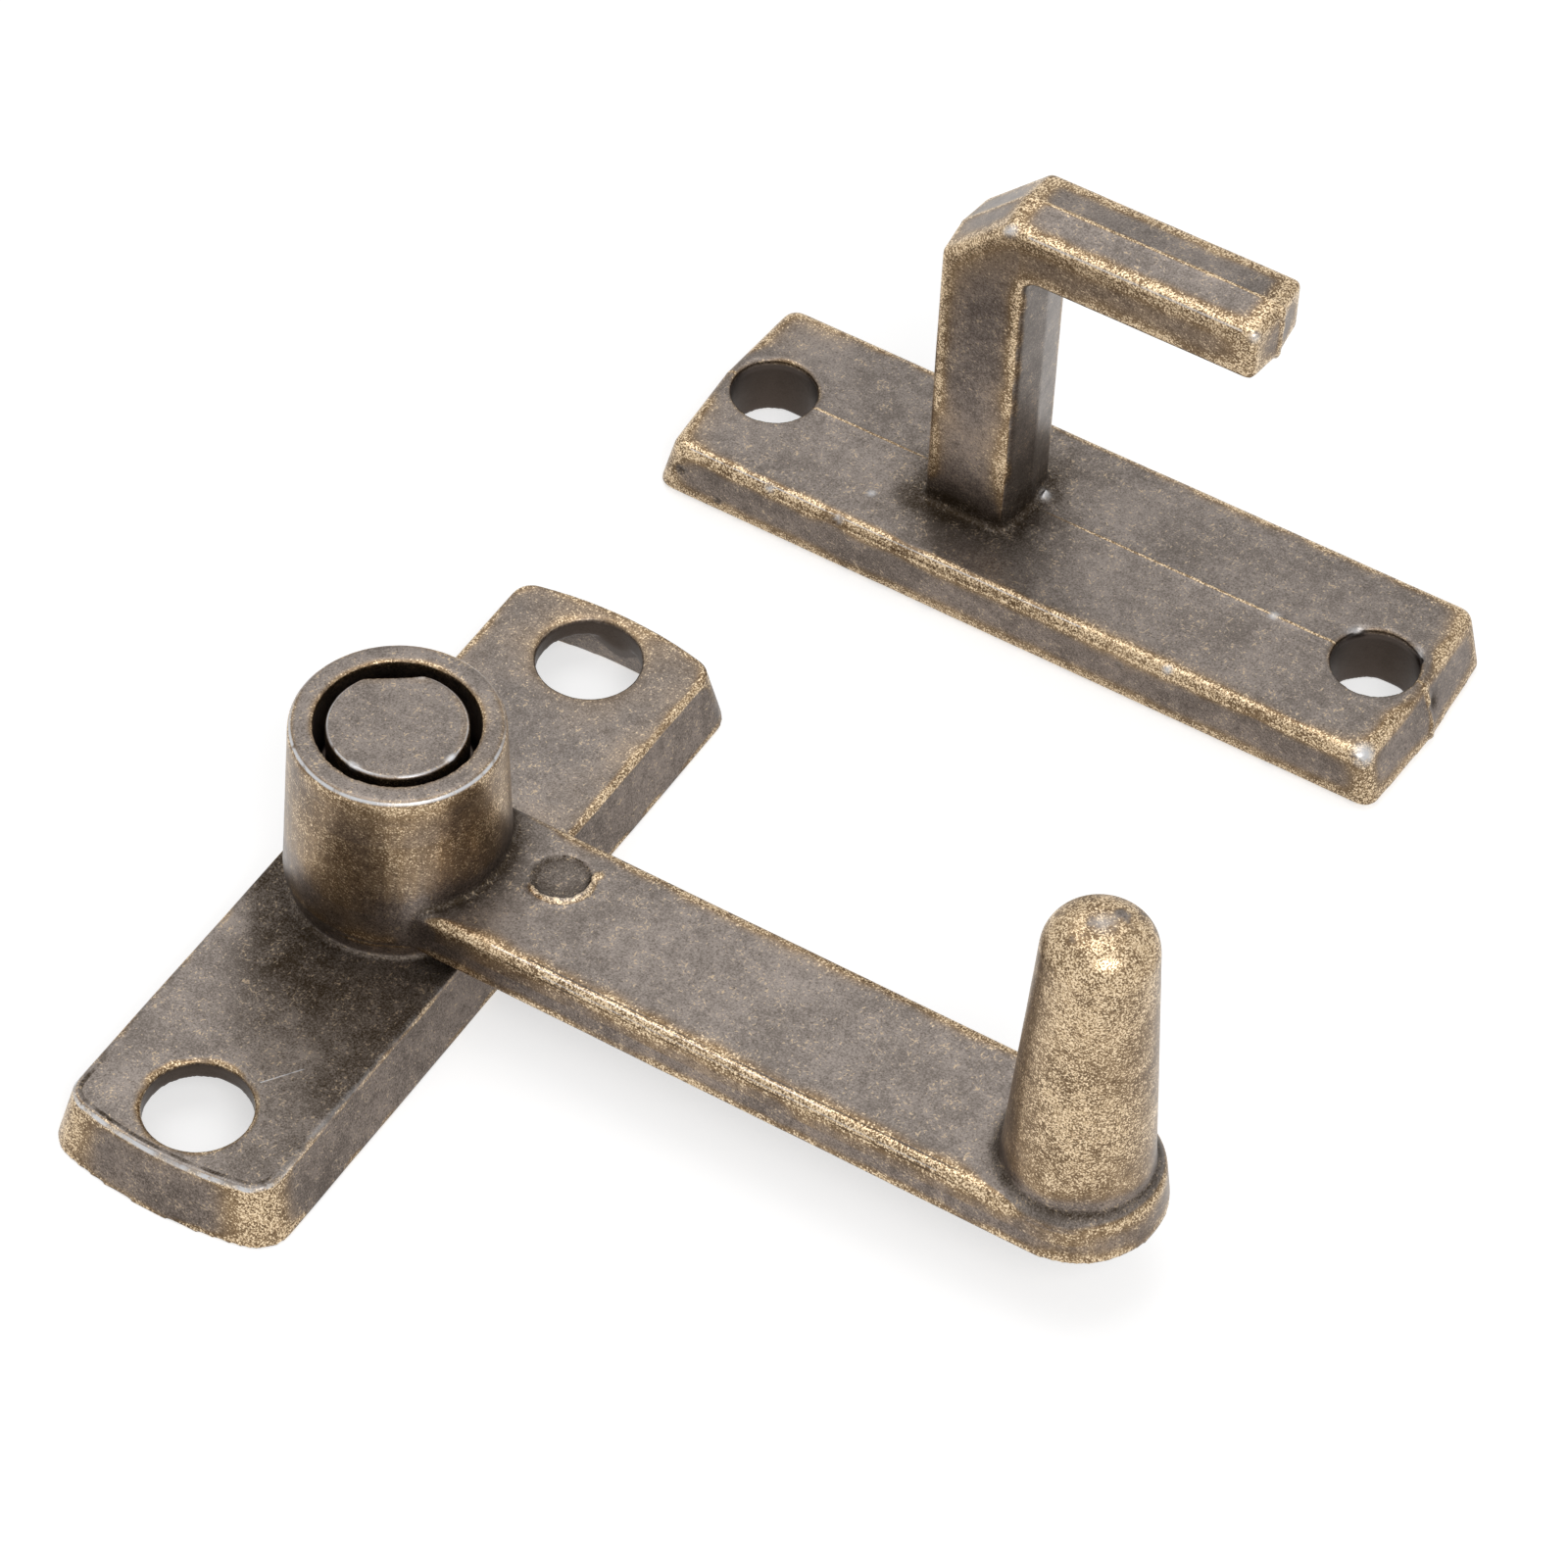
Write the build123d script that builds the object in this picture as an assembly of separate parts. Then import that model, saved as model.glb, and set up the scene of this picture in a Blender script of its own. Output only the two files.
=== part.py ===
# Swing bar latch and its hook keeper, both lying on one mounting plane.
# Z = 0 is the mounting plane and +Z points away from the door.
# The origin is on the pivot axis. The base plate's length runs along Y and the arm, at rest, along +X.
import math
import os

from build123d import *

os.makedirs("parts", exist_ok=True)

# Base plate, millimetres
base_half_length = 21.9     # at the back, on the centre line; each end is bowed about the pivot
base_half_width = 6.65      # at the back
base_corner = 2.0           # plan radius of the back's corners
base_height = 3.5
base_draft = 14.5           # degrees, all round
base_edge = 0.55            # rounding of the top edge
base_wall = 1.25            # side walls and top skin around the hollow back
pad_radius = 5.45           # round pad that carries the boss
pad_height = 1.1
base_hole_inset = 4.4       # hole centre from the plate's end, at the back
base_hole_radius = 2.7
hole_rim = 0.18             # softened rims of the base plate's holes

# Pivot rivet
head_radius = 3.53
head_flat = 3.09            # distance of the head's small flat from the axis
head_flat_angle = 125.0     # degrees, the way the flat looks
head_sink = 0.1             # head's top below the boss's rim
shank_radius = 2.6
tenon_radius = 2.0
tail_radius = 3.0
tail_height = 1.1
tail_edge = 0.5             # bevel of the peened tail
head_edge = 0.12

# Fits
turn_radial = 0.05          # arm's bore around the shank
turn_axial = 0.05           # arm between pad and head
tenon_radial = 0.02         # tenon in the plate before it is peened

# Swing arm
boss_radius = 5.75          # at the underside
boss_draft = 2.35           # degrees
boss_height = 9.95
boss_rim = 0.22             # softened outer rim of the boss
counterbore_radius = 4.07
counterbore_depth = 3.6
bar_half_width = 4.58       # at the underside
bar_draft = 7.5             # degrees
bar_height = 2.5
bar_edge = 0.5
grip_place = 38.3           # pivot axis to grip post axis
grip_radius = 3.76          # at the bar's top
grip_draft = 3.55           # degrees
grip_height = 16.85         # above the bar's top
grip_crown = 1.95
grip_foot = 0.4
bar_root = 1.5              # sweep of the bar's sides into the boss
mark_radius = 1.45          # round ejector pin mark on the bar
mark_place = (8.5, 1.45)
mark_depth = 0.1

# Keeper: sizes of the hook are those at its side faces
keeper_place = (16.0, 39.0)
keeper_half_back = 21.5     # half length at the back
keeper_half_width = 6.3
keeper_height = 3.67        # at the long top edges
keeper_roof = 0.15          # rise of the top towards the parting line
keeper_end_slope = 13.78    # degrees, ends lean in towards the top
keeper_end_draft = 3.0      # degrees, ends fall back from the parting line
keeper_corner = 0.9
keeper_edge = 0.65
keeper_back_edge = 0.35
keeper_hole_inset = 3.5     # hole centre from the plate's end, at the back
keeper_hole_radius = 2.31
post_back = -7.43           # from the plate's middle
post_front = -2.63
hook_half_width = 2.5
hook_draft = 6.0            # degrees, from the parting line to both sides
hook_top = 24.74
hook_finger = 3.15          # height of the finger
hook_tip = 10.3
hook_chamfer = 3.64
hook_edge = 0.45
hook_nose = 0.6             # rounding of the tip's corners
hook_bend = 0.5             # rounding of the inside corner and the chamfer's corners
post_foot = 0.35


def up(z):
    """Place things at height z on the pivot axis."""
    return Location((0, 0, z))


def post(radius, z0, z1, x=0.0, y=0.0):
    """Upright cylinder from z0 to z1."""
    return Location((x, y, (z0 + z1) / 2)) * Cylinder(radius, z1 - z0)


def narrowed(size, height, angle):
    """Size left after a draft angle over a height."""
    return size - height * math.tan(math.radians(angle))


def circles_at(solid, radius, z):
    """Round edges of one radius at one height."""
    rounds = solid.edges().filter_by(GeomType.CIRCLE)
    return [e for e in rounds if abs(e.radius - radius) < 0.001 and abs(e.arc_center.Z - z) < 0.001]


# Base plate: one casting, hollow at the back
base_hole_place = base_half_length - base_hole_inset
pad_top = base_height + pad_height
skin_under = base_height - base_wall


def bowed_outline(inset):
    """Plate seen from above: straight long sides, ends bowed about the pivot."""
    bow = Circle(base_half_length - inset)
    strip = Rectangle(2 * (base_half_width - inset), 4 * base_half_length)
    outline = bow & strip
    return fillet(outline.vertices(), base_corner - 0.5 * inset)


shell = extrude(bowed_outline(0), amount=base_height, taper=base_draft)
shell = fillet(shell.faces().sort_by(Axis.Z)[-1].edges(), base_edge)
shell += post(pad_radius, skin_under, pad_top)
shell -= extrude(bowed_outline(base_wall), amount=skin_under, taper=base_draft)
for side in (-1, 1):
    shell -= post(base_hole_radius, -1, pad_top, y=side * base_hole_place)
shell = chamfer(circles_at(shell, base_hole_radius, base_height), hole_rim)
base_plate = shell - post(tenon_radius + tenon_radial, 0, pad_top + 1)

# Swing arm: boss, bar and grip post in one casting
arm_under = pad_top + turn_axial
boss_top = arm_under + boss_height
bar_top = arm_under + bar_height
counterbore_floor = boss_top - counterbore_depth

bar_outline = Location((grip_place / 2, 0)) * Rectangle(grip_place, 2 * bar_half_width)
bar_outline += Location((grip_place, 0)) * Circle(bar_half_width)
bar_outline += Circle(boss_radius)
necks = [v for v in bar_outline.vertices() if 0 < v.X < boss_radius]
bar_outline = fillet(necks, bar_root)
bar = up(arm_under) * extrude(bar_outline, amount=bar_height, taper=bar_draft)
bar = fillet(bar.faces().sort_by(Axis.Z)[-1].edges(), bar_edge)

boss_top_radius = narrowed(boss_radius, boss_height, boss_draft)
boss = up(arm_under + boss_height / 2) * Cone(boss_radius, boss_top_radius, boss_height)
boss = chamfer(boss.edges().sort_by(Axis.Z)[-1], boss_rim)

grip_top_radius = narrowed(grip_radius, grip_height, grip_draft)
grip = Cone(grip_radius, grip_top_radius, grip_height)
grip = fillet(grip.edges().sort_by(Axis.Z)[-1], grip_crown)
grip = Location((grip_place, 0, bar_top + grip_height / 2)) * grip

arm = bar + grip
arm = chamfer(circles_at(arm, grip_radius, bar_top), grip_foot)
arm += boss
arm -= post(counterbore_radius, counterbore_floor, boss_top + 1)
arm -= post(shank_radius + turn_radial, arm_under - 1, counterbore_floor + 1)
swing_arm = arm - post(mark_radius, bar_top - mark_depth, bar_top + 1, *mark_place)

# Pivot rivet: shouldered on the pad, peened over in the hollow back
head_under = counterbore_floor + turn_axial
head_top = boss_top - head_sink
head = post(head_radius, head_under, head_top)
head = chamfer(head.edges().sort_by(Axis.Z)[-1], head_edge)
flat_box = Location((head_flat + head_radius, 0, head_top)) * Box(2 * head_radius, 4 * head_radius, 2 * counterbore_depth)
head -= Rotation(0, 0, head_flat_angle) * flat_box
tail = post(tail_radius, skin_under - tail_height, skin_under)
tail = chamfer(tail.edges().sort_by(Axis.Z)[0], tail_edge)
shank = post(shank_radius, pad_top, head_top - head_edge)
tenon = post(tenon_radius, skin_under - tail_height, pad_top + turn_axial)
pivot_rivet = head + shank + tenon + tail

# Keeper: plate, post and hook in one casting, parted along its middle.
# Each half is drawn from the parting line to its own side and then mirrored.
def drafted_half(outline, half_width, angle):
    """Side outline drawn at the parting line, drafted towards the -Y side."""
    block = extrude(Plane.XZ * outline, amount=half_width)
    return draft(block.faces().filter_by(lambda f: abs(f.normal_at().Y) < 0.5), Plane.XZ, angle)


end_ridge = keeper_half_width * math.tan(math.radians(keeper_end_draft))
keeper_hole_place = keeper_half_back - keeper_hole_inset


def plate_half(z):
    """Half length of the plate at height z, on the parting line."""
    return narrowed(keeper_half_back, z, keeper_end_slope) + end_ridge


low, high = -2.0, keeper_height + 2.0
plate_side = make_face(Polyline(
    (-plate_half(low), low), (plate_half(low), low), (plate_half(high), high), (-plate_half(high), high), close=True))
plate_section = make_face(Polyline(
    (-keeper_half_width, 0), (0, 0), (0, keeper_height + keeper_roof), (-keeper_half_width, keeper_height), close=True))
roofed = extrude(Plane.YZ * plate_section, amount=2 * keeper_half_back, both=True)
plate = drafted_half(plate_side, keeper_half_width, keeper_end_draft) & roofed
plate = fillet([e for e in plate.edges() if e.center().Y < 0.1 - keeper_half_width
                and e.bounding_box().size.Z > 1], keeper_corner)
plate = fillet([e for e in plate.edges() if e.center().Y < -0.1
                and e.bounding_box().min.Z > keeper_height - 0.1], keeper_edge)
plate = chamfer([e for e in plate.edges() if e.center().Y < -0.1
                 and e.bounding_box().max.Z < 0.1], keeper_back_edge)

hook_ridge = hook_half_width * math.tan(math.radians(hook_draft))
back, front = post_back - hook_ridge, post_front + hook_ridge
over, under, tip = hook_top + hook_ridge, hook_top - hook_finger - hook_ridge, hook_tip + hook_ridge
root = keeper_height - 1.0
hook_side = make_face(Polyline(
    (back, root), (front, root), (front, under), (tip, under), (tip, over), (back + hook_chamfer, over),
    (back, over - hook_chamfer), close=True))
hook_side = fillet([v for v in hook_side.vertices() if v.X > tip - 0.1], hook_nose)
hook_side = fillet([v for v in hook_side.vertices() if v.Y > root + 1 and v.X < front + 0.1], hook_bend)
hook = drafted_half(hook_side, hook_half_width, hook_draft)
hook = fillet([e for e in hook.edges() if e.center().Y < 0.1 - hook_half_width
               and e.bounding_box().max.Z > root + 0.1], hook_edge)

half_keeper = plate + hook
foot = [e for e in half_keeper.edges() if e.center().Y < -0.01 and e.bounding_box().min.Y > -hook_half_width - 0.01
        and back - 0.01 < e.center().X < front + 0.01 and e.bounding_box().max.Z < keeper_height + keeper_roof + 0.01
        and e.bounding_box().min.Z > keeper_height - 0.01]
half_keeper = fillet(foot, post_foot)
keeper = half_keeper + mirror(half_keeper, Plane.XZ)
for side in (-1, 1):
    keeper -= post(keeper_hole_radius, -1, keeper_height + 1, x=side * keeper_hole_place)
keeper = Location((*keeper_place, 0)) * keeper

for name, solid in (("base_plate", base_plate), ("swing_arm", swing_arm),
                    ("pivot_rivet", pivot_rivet), ("keeper", keeper)):
    export_step(solid, f"parts/{name}.step")
    print(name, "volume", round(solid.volume, 1), "solids", len(solid.solids()), solid.bounding_box())
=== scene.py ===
# %% [markdown]
# # Swing bar latch and its hook keeper
# The real things are three small zinc castings and a rivet, all with an aged brass finish: a base plate, an arm that
# swings on the rivet, and a keeper with a hook. The CAD frame already holds their exact shapes. What is left for this
# file is everything that a hand and a plating bath did to them: worn edges, dark hollows, seams and little burrs.
# Some shade and some highlights are painted into the colour as well.

# %% Load the frame
import math

import bmesh
import bpy
import numpy as np
from mathutils import Matrix, Vector, noise
from mathutils.bvhtree import BVHTree


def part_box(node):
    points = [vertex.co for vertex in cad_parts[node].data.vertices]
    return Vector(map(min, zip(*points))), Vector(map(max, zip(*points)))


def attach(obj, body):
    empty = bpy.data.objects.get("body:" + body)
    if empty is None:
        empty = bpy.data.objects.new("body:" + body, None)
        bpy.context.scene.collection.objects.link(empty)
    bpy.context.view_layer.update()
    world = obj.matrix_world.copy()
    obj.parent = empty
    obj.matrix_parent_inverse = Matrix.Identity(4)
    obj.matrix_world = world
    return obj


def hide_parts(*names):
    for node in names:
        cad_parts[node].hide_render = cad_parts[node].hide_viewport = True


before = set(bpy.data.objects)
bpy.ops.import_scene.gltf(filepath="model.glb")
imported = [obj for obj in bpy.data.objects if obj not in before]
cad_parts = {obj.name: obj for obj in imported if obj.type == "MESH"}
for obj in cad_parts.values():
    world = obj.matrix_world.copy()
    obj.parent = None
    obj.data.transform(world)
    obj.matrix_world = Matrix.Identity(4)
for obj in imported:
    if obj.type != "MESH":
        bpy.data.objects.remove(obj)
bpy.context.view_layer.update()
MM = 0.001

# %% [markdown]
# ## Camera
# A camera is placed by three unit vectors: where it looks, its right and its up. The view was found by lining up
# hole centres and corners with the photograph, so it is written as angles, a distance and the point looked at.
# The slight roll shares out a small tip that the latch half has in the photograph, where it lies on its arm.

# %% Camera
YAW, ELEVATION, ROLL = math.radians(-28.99), math.radians(47.97), math.radians(-3.0)
LOOK_AT, DISTANCE = Vector((11.317, 18.26, 0.0)) * MM, 338.0 * MM
FOCAL_PIXELS, IMAGE_PIXELS, SENSOR = 6781.0, 1600.0, 36.0

ahead = Vector((math.sin(YAW) * math.cos(ELEVATION), math.cos(YAW) * math.cos(ELEVATION), -math.sin(ELEVATION)))
sideways = Vector((math.cos(YAW), -math.sin(YAW), 0.0))
below = ahead.cross(sideways)
right = sideways * math.cos(ROLL) + below * math.sin(ROLL)
down = below * math.cos(ROLL) - sideways * math.sin(ROLL)
camera = bpy.data.objects.new("camera", bpy.data.cameras.new("camera"))
bpy.context.collection.objects.link(camera)
turned = Matrix((right, -down, -ahead)).transposed().to_4x4()
camera.matrix_world = Matrix.Translation(LOOK_AT - ahead * DISTANCE) @ turned
camera.data.sensor_width = SENSOR
camera.data.lens = FOCAL_PIXELS * SENSOR / IMAGE_PIXELS
camera.data.clip_start, camera.data.clip_end = 0.01, 20.0
bpy.context.scene.camera = camera
print("lens", round(camera.data.lens, 1), "mm, camera at", [round(c, 3) for c in camera.location])

# %% [markdown]
# ## Node helpers
# Materials here are built from many small nodes, so a few helpers keep the cells short. One adds a node and fills
# its inputs with values or links, others do the same for sums, ranges and colour mixes, and two make and use groups.

# %% Node helpers
def put(tree, socket, value):
    """Links a socket, or sets its value."""
    if isinstance(value, bpy.types.NodeSocket):
        tree.links.new(value, socket)
    else:
        socket.default_value = value


def add(tree, kind, values=(), **settings):
    """New node of a kind, with its inputs filled by name or number."""
    made = tree.nodes.new("ShaderNode" + kind)
    for name, value in settings.items():
        setattr(made, name, value)
    for key, value in dict(values).items():
        put(tree, made.inputs[key], value)
    return made


def calc(tree, operation, *values):
    return add(tree, "Math", enumerate(values), operation=operation).outputs[0]


def vector_calc(tree, operation, *values):
    """Vector sum, or the single number of a length or a dot product."""
    made = add(tree, "VectorMath", enumerate(values), operation=operation)
    return made.outputs["Value" if operation in ("LENGTH", "DOT_PRODUCT") else "Vector"]


def span(tree, value, low, high):
    """0 below low, 1 above high, and a smooth step between."""
    values = {"Value": value, "From Min": low, "From Max": high}
    return add(tree, "MapRange", values, interpolation_type="SMOOTHSTEP").outputs["Result"]


def blend_colour(tree, factor, first, second):
    return add(tree, "Mix", {0: factor, 6: first, 7: second}, data_type="RGBA").outputs[2]


def new_group(title, inputs, outputs):
    """Shader node group with named sockets: its tree, what comes in and what goes out."""
    tree = bpy.data.node_groups.new(title, "ShaderNodeTree")
    for name, kind in inputs.items():
        tree.interface.new_socket(name, in_out="INPUT", socket_type="NodeSocket" + kind)
    for name, kind in outputs.items():
        tree.interface.new_socket(name, in_out="OUTPUT", socket_type="NodeSocket" + kind)
    return tree, tree.nodes.new("NodeGroupInput").outputs, tree.nodes.new("NodeGroupOutput").inputs


def use_group(tree, group, values):
    made = tree.nodes.new("ShaderNodeGroup")
    made.node_tree = group
    for key, value in values.items():
        put(tree, made.inputs[key], value)
    return made.outputs


print("helpers ready")

# %% [markdown]
# ## Floor and light
# The photograph has a plain white ground. A floor that only glows would lose the shadow, and a floor that is only
# lit would need too much light on the metal. So the floor is pale and lit at a plain level, and adds a little of
# its own glow for the rays that look at it directly, in the camera or in the metal. Metal shows its surroundings
# more than its own colour, so the world is white for those rays too.

# %% Floor
FLOOR_SIZE, FLOOR_DROP, FLOOR_PALE, FLOOR_GLOW, FLOOR_ROUGH = 3.0, 0.02 * MM, 0.70, 0.56, 0.9


def direct_rays(tree):
    """1 for rays from the camera, a mirror or glass, 0 for the rest."""
    path = add(tree, "LightPath").outputs
    seen = calc(tree, "MAXIMUM", path["Is Camera Ray"], path["Is Glossy Ray"])
    return calc(tree, "MAXIMUM", seen, path["Is Transmission Ray"])


form = bmesh.new()
bmesh.ops.create_grid(form, x_segments=1, y_segments=1, size=FLOOR_SIZE / 2,
                      matrix=Matrix.Translation((LOOK_AT.x, LOOK_AT.y, -FLOOR_DROP)))
floor_mesh = bpy.data.meshes.new("floor")
form.to_mesh(floor_mesh)
form.free()
floor = bpy.data.objects.new("floor", floor_mesh)
bpy.context.collection.objects.link(floor)
paper = bpy.data.materials.new("pale_paper")
paper.use_nodes = True
tree = paper.node_tree
shader = tree.nodes["Principled BSDF"]
shader.inputs["Base Color"].default_value = (FLOOR_PALE, FLOOR_PALE, FLOOR_PALE, 1)
shader.inputs["Roughness"].default_value = FLOOR_ROUGH
shader.inputs["Specular IOR Level"].default_value = 0.0
shader.inputs["Emission Color"].default_value = (1, 1, 1, 1)
put(tree, shader.inputs["Emission Strength"], calc(tree, "MULTIPLY", direct_rays(tree), FLOOR_GLOW))
floor_mesh.materials.append(paper)
print("floor", FLOOR_SIZE, "m wide")

# %% World and lamps
WORLD_FILL = 0.42
LAMPS = {"key_lamp": ((0.42, -0.38, 0.62), 0.34, 1.9), "top_lamp": ((-0.15, 0.10, 0.75), 0.60, 1.4)}
world = bpy.data.worlds.new("studio")
bpy.context.scene.world = world
world.use_nodes = True
tree = world.node_tree
sky = tree.nodes["Background"]
sky.inputs["Color"].default_value = (1, 1, 1, 1)
put(tree, sky.inputs["Strength"], calc(tree, "MAXIMUM", direct_rays(tree), WORLD_FILL))


def soft_box(name, place, size, power):
    """Square lamp of a size in metres, aimed at the middle of the latch."""
    lamp = bpy.data.objects.new(name, bpy.data.lights.new(name, "AREA"))
    lamp.data.size, lamp.data.energy = size, power
    lamp.location = LOOK_AT + Vector(place)
    lamp.rotation_euler = (-Vector(place)).to_track_quat("-Z", "Y").to_euler()
    bpy.context.collection.objects.link(lamp)


for name, (place, size, power) in LAMPS.items():
    soft_box(name, place, size, power)
scene = bpy.context.scene
scene.view_settings.view_transform = "Standard"

# %% [markdown]
# ## A fine skin for each piece
# CAD triangles are long and thin, with nothing in the middle of a face to push or to paint. A voxel remesh gives an
# even net of small squares instead, but it leaves faint steps. Each point is therefore laid back on the nearest
# spot of the CAD surface, and the net is relaxed a little, which also softens the edges as a casting's are.
# All of it is done in millimetres, because the remesh is happier with numbers near one.

# %% Net helpers
JOIN_WITHIN = 0.001


def merged_copy(node):
    """CAD node's triangles in millimetres, with their loose corners joined."""
    form = bmesh.new()
    form.from_mesh(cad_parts[node].data)
    bmesh.ops.scale(form, vec=(1 / MM,) * 3, verts=form.verts)
    bmesh.ops.remove_doubles(form, verts=form.verts, dist=JOIN_WITHIN)
    return form


def even_net(name, form, voxel):
    """Object whose mesh is an even net of squares over the form."""
    mesh = bpy.data.meshes.new(name)
    form.to_mesh(mesh)
    net = bpy.data.objects.new(name, mesh)
    bpy.context.collection.objects.link(net)
    remesh = net.modifiers.new("even_net", "REMESH")
    remesh.mode, remesh.voxel_size, remesh.use_smooth_shade = "VOXEL", voxel, True
    dense = bpy.data.meshes.new_from_object(net.evaluated_get(bpy.context.evaluated_depsgraph_get()))
    net.modifiers.clear()
    net.data = dense
    dense.name = name
    bpy.data.meshes.remove(mesh)
    return net


print("net helpers ready")

# %% Skin
class Skin:
    """Net of a piece as arrays: points and normals in millimetres, and the pairs of neighbours."""

    def __init__(self, name, node, voxel, relax):
        form = merged_copy(node)
        surface = BVHTree.FromBMesh(form)
        self.object = even_net(name, form, voxel)
        form.free()
        self.node, self.mesh = node, self.object.data
        self.ends = np.empty(2 * len(self.mesh.edges), dtype=np.int32)
        self.mesh.edges.foreach_get("vertices", self.ends)
        self.ends = self.ends.reshape(-1, 2)
        self.count = np.bincount(self.ends.ravel(), minlength=len(self.mesh.vertices))
        laid = [surface.find_nearest(v.co)[0] for v in self.mesh.vertices]
        self.points = self.relaxed(np.array(laid), relax)
        self.update()

    def relaxed(self, values, rounds):
        """Values after each vertex has moved halfway to its neighbours' mean, over and over."""
        first, second = self.ends[:, 0], self.ends[:, 1]
        columns = values.reshape(len(values), -1).T.copy()
        for _ in range(rounds):
            for column in columns:
                total = np.bincount(first, column[second], len(column))
                total += np.bincount(second, column[first], len(column))
                column += 0.5 * (total / self.count - column)
        return columns.T.reshape(values.shape)

    def update(self):
        """Writes the points to the mesh and reads its normals."""
        self.mesh.vertices.foreach_set("co", self.points.ravel())
        self.mesh.update()
        normals = np.empty(3 * len(self.points), dtype=np.float32)
        self.mesh.vertex_normals.foreach_get("vector", normals)
        self.normals = normals.reshape(-1, 3)

    def push(self, amount):
        """Moves the points along their normals, in millimetres."""
        self.points = self.points + self.normals * np.asarray(amount)[:, None]
        self.update()

    def settle(self):
        """Keeps the points inside the CAD node's box and turns them into metres."""
        low, high = (np.array(corner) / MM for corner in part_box(self.node))
        self.points = np.clip(self.points, low, high) * MM
        self.update()

    def rise(self, rounds):
        """How far each point stands above the relaxed net: above zero on edges, below in corners."""
        return ((self.points - self.relaxed(self.points, rounds)) * self.normals).sum(axis=1)

    def paint(self, title, values):
        """Stores values on the mesh for the material."""
        layer = self.mesh.attributes.new(title, "FLOAT", "POINT")
        layer.data.foreach_set("value", np.asarray(values, dtype=np.float32))

    def rough(self, size, seed):
        """Noise from -1 to 1 over the surface, with features of a size in millimetres."""
        shift = Vector((seed, 2.7 * seed, -1.3 * seed))
        return np.array([noise.noise(Vector(p) / size + shift) for p in self.points])


print("skin ready")

# %% Skins
VOXELS = {"base_plate": 0.142, "swing_arm": 0.15, "pivot_rivet": 0.09, "keeper": 0.153}
skins = {}
for node, voxel in VOXELS.items():
    skins[node] = Skin(node + "_skin", node, voxel, relax=3)
    print(node, "skin", 2 * len(skins[node].mesh.polygons), "triangles")

# %% [markdown]
# ## Casting marks
# Die casting leaves its own marks: a thin seam where the two halves of the mould met, small round marks of the
# ejector pins, and burrs where the sprue was broken off. A face is never quite flat either, so every skin first
# sinks by a few hundredths of a millimetre in slow waves, and the marks are pushed up from there. Each mark is a
# number per point, 1 on the mark and 0 away from it.

# %% Slow waves
WAVE_SINK = 0.022


def near(values, middle, half):
    """1 at the middle, falling smoothly to 0 at half away."""
    share = np.clip(1 - np.abs(np.asarray(values) - middle) / half, 0, 1)
    return share ** 2 * (3 - 2 * share)


def fade(distance, length):
    """1 up to distance zero, and beyond it falling to about a third with each length."""
    return np.exp(-np.clip(distance, 0, None) / length)


for seed, skin in enumerate(skins.values()):
    skin.push(0.014 * skin.rough(4.5, seed + 0.5) + 0.006 * skin.rough(1.3, seed + 0.9) - WAVE_SINK)
print("waves pushed into", len(skins), "skins")

# %% Keeper seams and spots
# On the keeper, x and y count from its middle. A spot is x, y, z and the distance at which it ends.
KEEPER, PLATE_EDGE, PLATE_END, FINGER_END, FINGER_LOW = np.array([16.0, 39.0]), 3.0, 19.0, 9.5, 18.0
NUB, PIT = (-2.17, 0.97, 3.8, 0.6), (21.0, 0.55, 1.9, 0.6)
DIMPLES = ((-19.9, -6.2, 2.0, 0.5), (-17.6, -6.3, 1.0, 0.35), (6.5, -6.3, 2.4, 0.3))
keeper = skins["keeper"]
kx, ky = (keeper.points[:, :2] - KEEPER).T
kz = keeper.points[:, 2]
knx, kny, knz = keeper.normals.T


def keeper_spots(spots, flatten=1.0):
    """Sum of round spots on the keeper; heights count by a share, so a spot can be taller than it is wide."""
    return sum(near(np.sqrt((kx - x) ** 2 + (ky - y) ** 2 + (flatten * (kz - z)) ** 2), 0.0, half)
               for x, y, z, half in spots)


ragged = np.clip(0.5 + 1.1 * keeper.rough(0.7, 4.0), 0, 1.3)
top_seam = near(ky, 0.0, 0.2) * (np.abs(kny) < 0.5) * (knz > 0.5) * (kz > PLATE_EDGE)
end_seam = near(ky, 0.0, 0.34) * (knx > 0.6) * ((kx > PLATE_END) | (kx > FINGER_END) & (kz > FINGER_LOW))
nub, pit, dimples = keeper_spots([NUB]), keeper_spots([PIT], flatten=0.6), keeper_spots(DIMPLES)
keeper.push(0.05 * top_seam * (0.4 + 0.6 * ragged) + 0.2 * end_seam * ragged
            + 0.4 * nub - 0.15 * pit - 0.08 * dimples)
print("keeper seam on", int((top_seam > 0.1).sum()), "points")

# %% Keeper chips
HOLE_X, HOLE_RADIUS, HOLE_RIM, CHIP_TURNS, CHIP_HALF = 18.0, 2.31, 3.65, (143.0, 46.0), 19.0
hole_turn = np.degrees(np.arctan2(ky, kx - HOLE_X))
at_rim = near(np.hypot(np.hypot(kx - HOLE_X, ky) - HOLE_RADIUS, kz - HOLE_RIM), 0.0, 0.5)
chips = at_rim * sum(near(hole_turn, turn, CHIP_HALF) for turn in CHIP_TURNS)
keeper.push(-0.24 * chips * (0.3 + 0.9 * ragged))
print("chips on", int((chips > 0.1).sum()), "points")

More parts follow.
